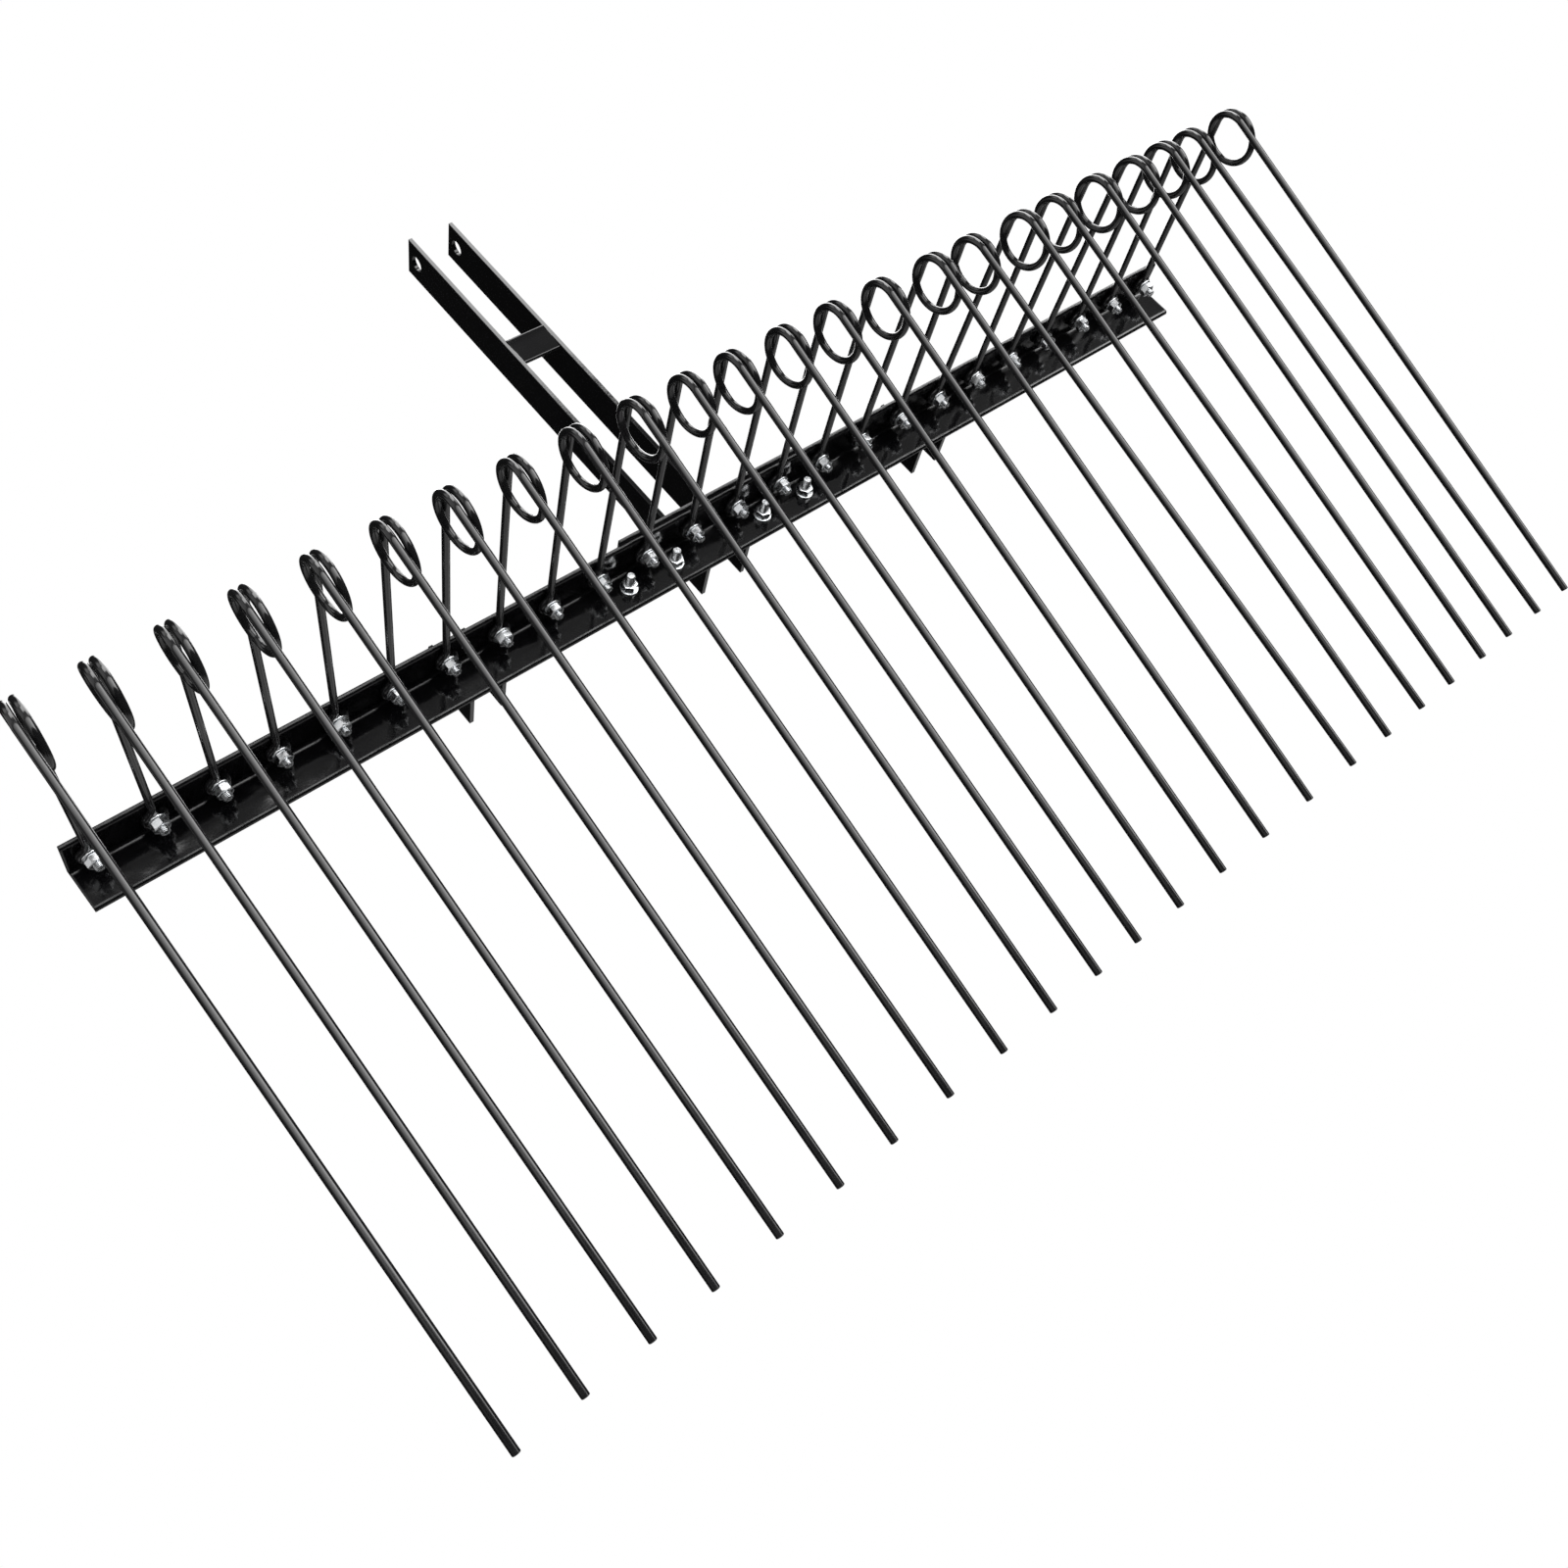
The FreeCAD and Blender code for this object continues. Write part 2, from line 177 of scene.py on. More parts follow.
# %% [markdown]
# Powder coat on rolled steel
#
# The toolbar, bracket, mast and lugs are hot rolled steel with a gloss black polyester powder
# baked on. Powder melts into a skin that is never quite flat: up close it has orange peel, a
# ripple 2 to 3 mm wide, and below that a slower wave of about 4 cm from the rolled steel. The
# wave is what breaks the reflections on the toolbar into grey patches. Powder also rounds the
# edges, which then catch a line of light; a bevel node gives that rounding to the CAD solids,
# whose edges are sharp. The rolled angles are rounder, wavier and a little duller than the flat
# bars.

# %% Powder coat
ORANGE_PEEL_MM = 2.6
ORANGE_PEEL_DEPTH_MM = 0.12
ROLLED_WAVE_MM = 38.0
ROLLED_WAVE_DEPTH_MM = 2.4
BLOTCH_MM = 65.0
ANGLE_ROUND_MM = 3.2
BAR_ROUND_MM = 1.0
ANGLE_WAVE = 0.6
BAR_WAVE = 0.2
ANGLE_ROUGH = (0.08, 0.16)
BAR_ROUGH = (0.05, 0.09)


def powder_coat(name, round_mm, wave_strength, rough_range):
    """Gloss black powder coat: dark base, low roughness with faint blotches, two ripples."""
    material, tree = empty_material(name)
    place = node(tree, "ShaderNodeTexCoord").outputs["Object"]
    wave = node(tree, "ShaderNodeTexNoise", Vector=place, Scale=1 / (ROLLED_WAVE_MM * MM), Detail=1.2,
                Roughness=0.4)
    peel = node(tree, "ShaderNodeTexNoise", Vector=place, Scale=1 / (ORANGE_PEEL_MM * MM), Detail=1.0)
    blotch = node(tree, "ShaderNodeTexNoise", Vector=place, Scale=1 / (BLOTCH_MM * MM), Detail=5.0,
                  Roughness=0.6)
    rounded = node(tree, "ShaderNodeBevel", {"samples": 6}, Radius=round_mm * MM)
    slow = node(tree, "ShaderNodeBump", Strength=wave_strength, Distance=ROLLED_WAVE_DEPTH_MM * MM,
                Height=wave.outputs[0], Normal=rounded.outputs[0])
    fine = node(tree, "ShaderNodeBump", Strength=0.22, Distance=ORANGE_PEEL_DEPTH_MM * MM,
                Height=peel.outputs[0], Normal=slow.outputs[0])
    base = ramp(tree, blotch.outputs[0], [(0.35, colour("#040405")), (0.7, colour("#080809"))])
    rough = ramp(tree, blotch.outputs[0], [(0.3, grey(rough_range[0])), (0.75, grey(rough_range[1]))])
    shader = node(tree, "ShaderNodeBsdfPrincipled", Base_Color=base, Roughness=rough, IOR=1.5,
                  Normal=fine.outputs[0])
    node(tree, "ShaderNodeOutputMaterial", Surface=shader.outputs[0])
    return material


angle_coat = powder_coat("gloss_black_powder_coat_on_rolled_angle", ANGLE_ROUND_MM, ANGLE_WAVE, ANGLE_ROUGH)
coat = powder_coat("gloss_black_powder_coat_on_flat_bar", BAR_ROUND_MM, BAR_WAVE, BAR_ROUGH)
print("made", angle_coat.name, "and", coat.name)

# %% [markdown]
# Enamelled spring wire
#
# The tines are hard drawn spring wire, 7.9 mm thick, dipped in black enamel after coiling. The
# enamel is a little softer than the powder coat's gloss, so the light is smeared into one broad
# grey streak along each leg. Under it the die has left faint lines along the wire. Real ones are
# finer than the picture can show, so these are drawn 0.9 mm apart. The lines need to follow the
# wire through its coil, so the pattern reads the surface's own map: millimetres round the wire
# and millimetres along it.

# %% Spring wire
DIE_LINE_MM = 0.9
DIE_LINE_LENGTH_MM = 50.0
DIE_LINE_DEPTH_MM = 0.02
WIRE_CLOUD_MM = 22.0
WIRE_GRAIN_MM = 1.4
WIRE_GRAIN_DEPTH_MM = 0.015


def spring_wire():
    """Black enamel over drawn wire: die lines along the length, slight cloudiness."""
    material, tree = empty_material("black_enamel_on_drawn_spring_wire")
    along = node(tree, "ShaderNodeUVMap", {"uv_map": "wire"}).outputs[0]
    stretched = node(tree, "ShaderNodeMapping", Vector=along,
                     Scale=(1 / DIE_LINE_MM, 1 / DIE_LINE_LENGTH_MM, 1.0))
    lines = node(tree, "ShaderNodeTexNoise", Vector=stretched.outputs[0], Scale=1.0, Detail=2.0)
    place = node(tree, "ShaderNodeTexCoord").outputs["Object"]
    cloud = node(tree, "ShaderNodeTexNoise", Vector=place, Scale=1 / (WIRE_CLOUD_MM * MM), Detail=4.0,
                 Roughness=0.6)
    grain = node(tree, "ShaderNodeTexNoise", Vector=place, Scale=1 / (WIRE_GRAIN_MM * MM), Detail=1.0)
    slow = node(tree, "ShaderNodeBump", Strength=0.2, Distance=DIE_LINE_DEPTH_MM * MM,
                Height=lines.outputs[0])
    fine = node(tree, "ShaderNodeBump", Strength=0.2, Distance=WIRE_GRAIN_DEPTH_MM * MM,
                Height=grain.outputs[0], Normal=slow.outputs[0])
    base = ramp(tree, cloud.outputs[0], [(0.3, colour("#0c0c0d")), (0.75, colour("#151516"))])
    rough = ramp(tree, cloud.outputs[0], [(0.3, grey(0.12)), (0.75, grey(0.17))])
    shader = node(tree, "ShaderNodeBsdfPrincipled", Base_Color=base, Roughness=rough, IOR=1.5,
                  Normal=fine.outputs[0])
    node(tree, "ShaderNodeOutputMaterial", Surface=shader.outputs[0])
    return material


wire_finish = spring_wire()
print("made", wire_finish.name)

# %% [markdown]
# Zinc plate
#
# Bolts, nuts and washers are cold forged steel with a bright zinc plate. Fresh zinc is a
# slightly blue white metal. It is not a mirror: the forging below and the plating's fine
# crystals leave it a little patchy, and each face a little different. The crystals are too fine
# to show, so their grain is drawn 0.7 mm wide.

# %% Zinc plate
FORGED_PATCH_MM = 5.0
ZINC_GRAIN_MM = 0.7
ZINC_GRAIN_DEPTH_MM = 0.05
ZINC_ROUND_MM = 0.25


def zinc_plate():
    """Bright zinc on forged steel: full metal, pale blue-grey, patchy gloss and fine grain."""
    material, tree = empty_material("bright_zinc_plate_on_forged_steel")
    place = node(tree, "ShaderNodeTexCoord").outputs["Object"]
    patch = node(tree, "ShaderNodeTexNoise", Vector=place, Scale=1 / (FORGED_PATCH_MM * MM), Detail=3.0)
    grain = node(tree, "ShaderNodeTexNoise", Vector=place, Scale=1 / (ZINC_GRAIN_MM * MM), Detail=1.0)
    rounded = node(tree, "ShaderNodeBevel", {"samples": 4}, Radius=ZINC_ROUND_MM * MM)
    fine = node(tree, "ShaderNodeBump", Strength=0.25, Distance=ZINC_GRAIN_DEPTH_MM * MM,
                Height=grain.outputs[0], Normal=rounded.outputs[0])
    base = ramp(tree, patch.outputs[0], [(0.3, colour("#d2d5d8")), (0.7, colour("#ecedee"))])
    rough = ramp(tree, patch.outputs[0], [(0.3, grey(0.2)), (0.7, grey(0.31))])
    shader = node(tree, "ShaderNodeBsdfPrincipled", Base_Color=base, Metallic=1.0, Roughness=rough,
                  Normal=fine.outputs[0])
    node(tree, "ShaderNodeOutputMaterial", Surface=shader.outputs[0])
    return material


zinc = zinc_plate()
print("made", zinc.name)

# %% [markdown]
# Dressing the CAD solids
#
# Plates and angles already have the right shape, so their solids stay and only get a
# material. A node's slot in the record says which finish it has.

# %% Give each CAD node its finish
FINISHES = {"black_powder_coat": coat, "black_spring_wire": wire_finish, "zinc_plated_steel": zinc}
for part in frame["record"]["subparts"]:
    mesh = frame["nodes"][part["node"]].data
    mesh.materials.clear()
    rolled = part["node"].endswith("_angle")
    mesh.materials.append(angle_coat if rolled else FINISHES[part["material_slot"]])
print("dressed", len(frame["nodes"]), "nodes")

# %% [markdown]
# Surfaces on a grid
#
# Every new piece is a surface worked out on a grid of two parameters: rings along the piece and
# points round each ring. One helper joins neighbouring points into four-sided faces, closes
# the ends or joins them up, and turns the faces outward if the enclosed volume comes out
# negative. Many equal pieces, such as nuts, are joined into one mesh.

# %% Grid surface helper
MERGE_MM = 0.002


def grid_faces(rings, around, ring_closed):
    """Faces between neighbours on a grid that is closed round each ring, as an array."""
    last = rings if ring_closed else rings - 1
    i, j = np.meshgrid(np.arange(last), np.arange(around), indexing="ij")
    i2, j2 = (i + 1) % rings, (j + 1) % around
    return np.stack([i * around + j, i * around + j2, i2 * around + j2, i2 * around + j], -1).reshape(-1, 4)


def outward(points, faces):
    """The faces, turned over if they enclose a negative volume."""
    corners = points[faces]
    first = np.einsum("ij,ij->i", corners[:, 0], np.cross(corners[:, 1], corners[:, 2]))
    second = np.einsum("ij,ij->i", corners[:, 0], np.cross(corners[:, 2], corners[:, 3]))
    return faces if (first + second).sum() > 0 else faces[:, ::-1]


def surface_piece(name, grids, finish, body, ring_closed=False, sharp_degrees=35.0):
    """One mesh from a list of grids (rings, around, 3) in millimetres. An open grid's first and
    last rings are points on the axis, merged into poles."""
    all_points, all_faces, start = [], [], 0
    for grid in grids:
        rings, around = grid.shape[:2]
        points = grid.reshape(-1, 3)
        all_points.append(points)
        all_faces.append(outward(points, grid_faces(rings, around, ring_closed)) + start)
        start += len(points)
    mesh = bpy.data.meshes.new(name)
    points = np.concatenate(all_points) * MM
    mesh.from_pydata(points.tolist(), [], np.concatenate(all_faces).tolist())
    piece = bpy.data.objects.new(name, mesh)
    bpy.context.scene.collection.objects.link(piece)
    tidy = bmesh.new()
    tidy.from_mesh(mesh)
    bmesh.ops.remove_doubles(tidy, verts=tidy.verts, dist=MERGE_MM * MM)
    tidy.to_mesh(mesh)
    tidy.free()
    mesh.shade_smooth()
    mesh.set_sharp_from_angle(angle=math.radians(sharp_degrees))
    mesh.materials.append(finish)
    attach(piece, body)
    return piece

# %% [markdown]
# The tines
#
# A tine is one length of wire. It starts with an eye, three quarters of a turn round the bolt,
# then bends back to the middle and runs straight under the toolbar. At the back it winds
# down into a coil of one and three tenths turns, stepping 9.4 mm to the left each turn, and
# leaves it as the long leg that leans forward. The real one is bent by hand on a peg, so each
# has its own small yaw about the bolt and roll about the mounting leg.
#
# The wire could be a curve with a round bevel. Here it is a ring of points carried along the
# centre line, so that each ring knows how far along the wire and along the coil it is.

# %% Centre line of a tine
EYE_CLEARANCE = 0.6
EYE_RADIUS = BOLT_RADIUS + EYE_CLEARANCE + WIRE_RADIUS
NECK_RADIUS = 12.0
NECK_LENGTH = math.sqrt(EYE_RADIUS ** 2 + 2 * EYE_RADIUS * NECK_RADIUS)
NECK_DEGREES = math.degrees(math.atan2(NECK_LENGTH, NECK_RADIUS))
EYE_TAIL_DEGREES = -35.0
MOUNTING_LEG = 265.0
COIL_RADIUS = 29.0
COIL_PITCH = 9.4
LEG_LEAN_DEGREES = 15.3
COIL_DEGREES = 450.0 + LEG_LEAN_DEGREES
LONG_LEG = 660.0
LEG_CHAMFER = 0.6
YAW_DEGREES = [-2.5, -2.25, -2.25, -2.0, -1.5, -0.75, -0.75, 0.0, 1.0, 1.75, 1.0, -0.5,
               0.0, 0.25, 0.75, 3.0, 1.5, 4.25, 2.0, 2.75, 2.75, 0.25, -2.75, -1.25]
ROLL_DEGREES = [-0.1, 0.0, -0.05, 0.05, -0.15, -0.25, -0.1, -0.25, -0.35, -0.3, -0.2, 0.2,
                0.45, 0.45, 0.25, -0.05, -1.2, -0.55, -0.8, 0.05, 0.3, 0.75, 0.55, 1.35]


def turn_y(vectors, degrees):
    """Vectors rolled about the mounting leg."""
    a = math.radians(degrees)
    x, y, z = vectors.T
    return np.stack([x * math.cos(a) + z * math.sin(a), y, z * math.cos(a) - x * math.sin(a)], -1)


def turn_z(vectors, degrees):
    """Vectors turned about an upright axis."""
    a = math.radians(degrees)
    x, y, z = vectors.T
    return np.stack([x * math.cos(a) - y * math.sin(a), x * math.sin(a) + y * math.cos(a), z], -1)


def unit(vectors):
    """Each vector at length one."""
    return vectors / np.linalg.norm(vectors, axis=-1, keepdims=True)


def tine_line(yaw, roll, x):
    """Centre points, wire directions, side directions and coil share along one tine.

    Eye: a circle of EYE_RADIUS round the bolt. Neck: a circle of NECK_RADIUS the other way.
    Mounting leg: straight back. Coil: back by the sine and down by one less the cosine of the
    angle, times COIL_RADIUS, and sideways by COIL_PITCH a turn. Long leg: straight on.
    """
    eye = np.radians(np.linspace(EYE_TAIL_DEGREES, 180 + NECK_DEGREES, 30))
    neck = np.radians(np.linspace(NECK_DEGREES, 0, 9))[1:]
    back = np.linspace(-NECK_LENGTH, -MOUNTING_LEG, 12)[1:]
    coil = np.radians(np.linspace(0, COIL_DEGREES, 110))[1:]
    down = np.concatenate([[0.3], np.linspace(12, LONG_LEG - LEG_CHAMFER, 24), [LONG_LEG]])
    flat = lambda a, b: np.stack([a, b, np.zeros_like(a)], -1)
    points = [EYE_RADIUS * flat(np.cos(eye), np.sin(eye)),
              flat(NECK_RADIUS * (np.cos(neck) - 1), NECK_RADIUS * np.sin(neck) - NECK_LENGTH),
              flat(np.zeros_like(back), back)]
    ways = [flat(-np.sin(eye), np.cos(eye)), flat(np.sin(neck), -np.cos(neck)),
            flat(np.zeros_like(back), -np.ones_like(back))]
    turn = np.stack([-COIL_PITCH * coil / (2 * np.pi), -MOUNTING_LEG - COIL_RADIUS * np.sin(coil),
                     COIL_RADIUS * (np.cos(coil) - 1)], -1)
    climb = np.full_like(coil, -COIL_PITCH / (2 * np.pi))
    turn_way = unit(np.stack([climb, -COIL_RADIUS * np.cos(coil), -COIL_RADIUS * np.sin(coil)], -1))
    leave = np.array([0.0, -math.cos(coil[-1]), -math.sin(coil[-1])])
    leg = turn[-1] + leave * down[:, None]
    points += [turn_y(turn, roll), turn_y(leg, roll)]
    ways += [turn_y(turn_way, roll), turn_y(np.tile(leave, (len(down), 1)), roll)]
    flat_rings = len(eye) + len(neck) + len(back)
    share = np.concatenate([np.zeros(flat_rings), coil / coil[-1], np.ones(len(down))])
    ways = np.concatenate(ways)
    sideways = turn_y(np.array([[1.0, 0, 0]]), roll)
    side = np.concatenate([np.cross([0, 0, 1.0], ways[:flat_rings]),
                           np.tile(sideways, (len(coil) + len(down), 1))])
    side = unit(side - ways * (side * ways).sum(-1, keepdims=True))
    place = np.array([x, BOLT_LINE_Y, WIRE_Z])
    return turn_z(np.concatenate(points), yaw) + place, turn_z(ways, yaw), turn_z(side, yaw), share


line, way, side, share = tine_line(YAW_DEGREES[0], ROLL_DEGREES[0], TINE_X[0])
wire_length = np.linalg.norm(np.diff(line, axis=0), axis=1).sum()
print("one tine has", len(line), "rings and", round(float(wire_length)), "mm of wire")

# %% [markdown]
# Skinning the wire
#
# A circle of 20 points is set square to the line at each ring. The two ends are closed with a
# flat face and a small chamfer, as the shears leave them. When the long leg swings back, a
# real coil takes the turn evenly over its whole length: a point a third of the way along the
# coil turns a third of the angle. The centre line works out that share for each ring, but the
# tines are built here at rest only.

# %% Make the 24 tines
AROUND = 20
round_angles = np.arange(AROUND) * 2 * np.pi / AROUND


def wire_skin(line, way, side, radii):
    """Rings round a line: centre, plus radius times cosine of the side and sine of the other
    cross direction. A ring of radius zero closes each end."""
    other = np.cross(way, side)
    circle = (np.cos(round_angles)[:, None] * side[:, None]
              + np.sin(round_angles)[:, None] * other[:, None])
    return line[:, None] + radii[:, None, None] * circle


def make_tine(index):
    """One tine as a mesh in place of the CAD spring and leg, which it hides."""
    line, way, side, share = tine_line(YAW_DEGREES[index], ROLL_DEGREES[index], TINE_X[index])
    radii = np.full(len(line), WIRE_RADIUS)
    radii[-1] = WIRE_RADIUS - LEG_CHAMFER
    radii[0] = WIRE_RADIUS - LEG_CHAMFER / 2
    grow = lambda a: np.concatenate([a[:1], a, a[-1:]])
    line, way, side, share = map(grow, (line, way, side, share))
    radii = np.concatenate([[0.0], radii, [0.0]])
    grid = wire_skin(line, way, side, radii)
    rings = len(line)
    points = grid.reshape(-1, 3)
    faces = outward(points, grid_faces(rings, AROUND, False))
    mesh = bpy.data.meshes.new(f"tine_{index + 1:02d}_wire")
    mesh.from_pydata((points * MM).tolist(), [], faces.tolist())
    along = np.concatenate([[0], np.cumsum(np.linalg.norm(np.diff(line, axis=0), axis=1))])
    corner = np.zeros(len(mesh.loops), int)
    mesh.loops.foreach_get("vertex_index", corner)
    ring, spoke = corner // AROUND, corner % AROUND
    quads = spoke.reshape(-1, 4)
    wrapped = np.where((quads.max(1) == AROUND - 1)[:, None] & (quads == 0), AROUND, quads).ravel()
    around_mm = wrapped * 2 * np.pi * WIRE_RADIUS / AROUND
    layer = mesh.uv_layers.new(name="wire")
    layer.data.foreach_set("uv", np.stack([around_mm, along[ring]], -1).astype(np.float32).ravel())
    piece = bpy.data.objects.new(mesh.name, mesh)
    bpy.context.scene.collection.objects.link(piece)
    mesh.shade_smooth()
    mesh.set_sharp_from_angle(angle=math.radians(40))
    mesh.materials.append(wire_finish)
    body = f"tine_{index + 1:02d}"
    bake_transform(piece)
    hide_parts(body + "_spring", body + "_leg")
    return piece


tines = [make_tine(index) for index in range(TINE_COUNT)]
print("made", len(tines), "tines of", len(tines[0].data.polygons), "faces")

# %% [markdown]
# Bolts, nuts and washers
#
# A hexagon bolt head, a nut and a washer all turn about one axis, so each is a grid of rings
# round that axis. A hexagon is a radius that grows towards its corners, and the chamfer is where
# that radius meets a flat cone, which gives the curved edges of a real nut. The thread is the
# same idea: the radius follows a zigzag that climbs one pitch a turn. Only the part of the
# shank that can be seen past the nut has a thread.

# %% Fastener surfaces
COLUMNS = 48
spin = np.arange(COLUMNS) * 2 * np.pi / COLUMNS
THREAD_PITCH = 1.5
THREAD_DEPTH = 0.7
THREAD_CLEARANCE = 0.03
ROWS_PER_THREAD = 6
LAST_THREAD_ROW = 0.2
STUD_CHAMFER = 1.1
STUD_CUP_RIM = 2.0
STUD_CUP_WALL = 2.4
STUD_CUP_DEPTH = 0.45
STUD_CUP_MIDDLE = 0.55
HEXAGON_HALF = 8.0
HEAD_HEIGHT = 6.4
HEAD_DISH = 0.25
HEAD_FACE_SHARE = 0.94
HEAD_SEAT_CHAMFER = 0.3
NUT_HEIGHT = 8.4
NUT_FACE_SHARE = 0.97
NUT_BITE = 0.6
COUNTERSINK = 0.2
COUNTERSINK_DEPTH = 0.7
WASHER_WALL = 2.0
WASHER_RADIUS = 10.5
WASHER_HOLE = 5.25
WASHER_EDGE = 0.35
WASHER_EDGE_CUT = 0.1
CONE = math.tan(math.radians(30))
hexagon = HEXAGON_HALF / np.cos(np.mod(spin, np.pi / 3) - np.pi / 6)


def rings_of(rows):
    """A grid from rows of (radius, height), each a number or one value for each column."""
    full = [(np.broadcast_to(r, COLUMNS), np.broadcast_to(z, COLUMNS)) for r, z in rows]
    return np.stack([np.stack([r * np.cos(spin), r * np.sin(spin), z], -1) for r, z in full])


def nut_grid():
    """A nut from zero up: bore, flat ring, chamfer cone to the hexagon, sides, and back."""
    ring = NUT_FACE_SHARE * HEXAGON_HALF
    low = (hexagon - ring) * CONE
    bore, mouth = BOLT_RADIUS - NUT_BITE, BOLT_RADIUS + COUNTERSINK
    rows = [(bore, COUNTERSINK_DEPTH), (mouth, 0.0), (ring, 0.0), (hexagon, low),
            (hexagon, NUT_HEIGHT - low), (ring, NUT_HEIGHT), (mouth, NUT_HEIGHT),
            (bore, NUT_HEIGHT - COUNTERSINK_DEPTH)]
    return rings_of(rows)


def washer_grid():
    """A washer from zero up, with the rounded edges that punching leaves."""
    edge, cut = WASHER_EDGE, WASHER_EDGE_CUT
    rows = [(WASHER_HOLE, edge / 2), (WASHER_HOLE + edge / 2, 0), (WASHER_RADIUS - edge, 0),
            (WASHER_RADIUS - cut, cut), (WASHER_RADIUS, edge), (WASHER_RADIUS, WASHER_WALL - edge),
            (WASHER_RADIUS - cut, WASHER_WALL - cut), (WASHER_RADIUS - edge, WASHER_WALL),
            (WASHER_HOLE + edge / 2, WASHER_WALL), (WASHER_HOLE, WASHER_WALL - edge / 2)]
    return rings_of(rows)


def bolt_grid(reach, threaded):
    """A bolt: head from zero up, shank down to minus reach, thread over its last stretch."""
    ring = HEAD_FACE_SHARE * HEXAGON_HALF
    low = (hexagon - ring) * CONE
    rows = [(0.0, HEAD_HEIGHT - HEAD_DISH), (ring * 0.75, HEAD_HEIGHT - HEAD_DISH),
            (ring * 0.8, HEAD_HEIGHT), (ring, HEAD_HEIGHT), (hexagon, HEAD_HEIGHT - low),
            (hexagon, HEAD_SEAT_CHAMFER), (NUT_FACE_SHARE * HEXAGON_HALF, 0.0),
            (BOLT_RADIUS, 0.0), (BOLT_RADIUS, threaded - reach + 0.01)]
    for z in np.arange(threaded - reach, -reach + LAST_THREAD_ROW, -THREAD_PITCH / ROWS_PER_THREAD):
        phase = np.mod(z / THREAD_PITCH - spin / (2 * np.pi), 1.0)
        groove = THREAD_DEPTH * np.clip(1.25 - np.abs(2 * phase - 1) * 1.5, 0, 1)
        tooth = BOLT_RADIUS - THREAD_CLEARANCE - groove
        cone = BOLT_RADIUS - STUD_CHAMFER + (z + reach)
        rows.append((np.minimum(tooth, cone), z))
    rows += [(BOLT_RADIUS - STUD_CHAMFER, -reach), (BOLT_RADIUS - STUD_CUP_RIM, -reach),
             (BOLT_RADIUS - STUD_CUP_WALL, -reach + STUD_CUP_DEPTH), (0.0, -reach + STUD_CUP_MIDDLE)]
    return rings_of(rows)


print("one stud end has", len(bolt_grid(30, 8)), "rings of", COLUMNS)

# %% [markdown]
# Setting the fasteners in place
#
# The tine bolts go down through the toolbar, and through the bracket too where it covers them,
# with a washer and a nut below the wire. The four hitch bolts go back through both upright
# flanges and are longer. Hexagons never line up on a real machine, so each is turned a little
# further than the last, as on the solids.

# %% Place the fasteners
SPIN_DEGREES = 37.0
BRACKET_END_INSET = 2.6
BRACKET_HALF = 2 * TINE_PITCH - BRACKET_END_INSET
WASHER_TOP = WIRE_Z - WIRE_RADIUS - SEAT_GAP
TINE_OVERHANG = 6.0
HITCH_OVERHANG = 13.0
THREAD_RUN_IN = 1.2


def set_down(grid, place, turn_degrees, backward=False):
    """A fastener's grid, turned about its axis, laid to point back if asked, and moved."""
    points = turn_z(grid.reshape(-1, 3), turn_degrees)
    if backward:
        x, y, z = points.T
        points = np.stack([x, z, -y], -1)
    return (points + np.array(place)).reshape(grid.shape)


bolts, hitch_bolts, nuts, washers = [], [], [], []
nut_z = WASHER_TOP - WASHER_WALL - NUT_HEIGHT
for index, x in enumerate(TINE_X):
    seat = HEEL_Z + (ANGLE_WALL if abs(x) < BRACKET_HALF else 0.0)
    turn = index * SPIN_DEGREES
    bolt = bolt_grid(seat - nut_z + TINE_OVERHANG, TINE_OVERHANG + THREAD_RUN_IN)
    bolts.append(set_down(bolt, (x, BOLT_LINE_Y, seat), turn))
    washers.append(set_down(washer_grid(), (x, BOLT_LINE_Y, WASHER_TOP - WASHER_WALL), 0))
    nuts.append(set_down(nut_grid(), (x, BOLT_LINE_Y, nut_z), turn))
washer_y = HEEL_Y - ANGLE_WALL - WASHER_WALL
hitch_z = HEEL_Z - ANGLE_LEG / 2
reach = 2 * ANGLE_WALL + WASHER_WALL + NUT_HEIGHT + HITCH_OVERHANG
for index, steps in enumerate((-1, -2, 1, 2)):
    x, turn = steps * TINE_PITCH, index * SPIN_DEGREES
    bolt = bolt_grid(reach, HITCH_OVERHANG + THREAD_RUN_IN)
    hitch_bolts.append(set_down(bolt, (x, HEEL_Y + ANGLE_WALL, hitch_z), turn, True))
    washers.append(set_down(washer_grid(), (x, washer_y, hitch_z), 0, True))
    nuts.append(set_down(nut_grid(), (x, washer_y - NUT_HEIGHT, hitch_z), turn, True))
fasteners = {
    "tine_bolts": surface_piece("threaded_tine_bolts", bolts, zinc, "root"),
    "hitch_bolts": surface_piece("threaded_hitch_bolts", hitch_bolts, zinc, "root"),
    "hex_nuts": surface_piece("chamfered_nuts", nuts, zinc, "root", True),
    "flat_washers": surface_piece("rounded_washers", washers, zinc, "root", True),
}
for cad_name, piece in fasteners.items():
    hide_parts(cad_name)
    print(piece.name, len(piece.data.polygons), "faces")

# %% [markdown]
# Welds
#
# The mast bars, the cross plate and the lugs are welded on before painting. A weld laid by
# hand is a row of overlapping puddles: seen close, it is a rounded bead whose thickness rises
# and falls every 3 mm. Each bead here is a ring of points carried along the corner where two
# plates meet, with its radius rippling along the way and closing at both ends. Half of it is
# buried in the steel, as a real weld is.

# %% Weld beads
BEAD_RADIUS = 2.6
BEAD_STEP = 0.5
RIPPLE_MM = 3.0
RIPPLE_SHARE = 0.14
RIPPLE_WANDER = 0.7
ASIDE = (0.3, 0.5, 0.81)


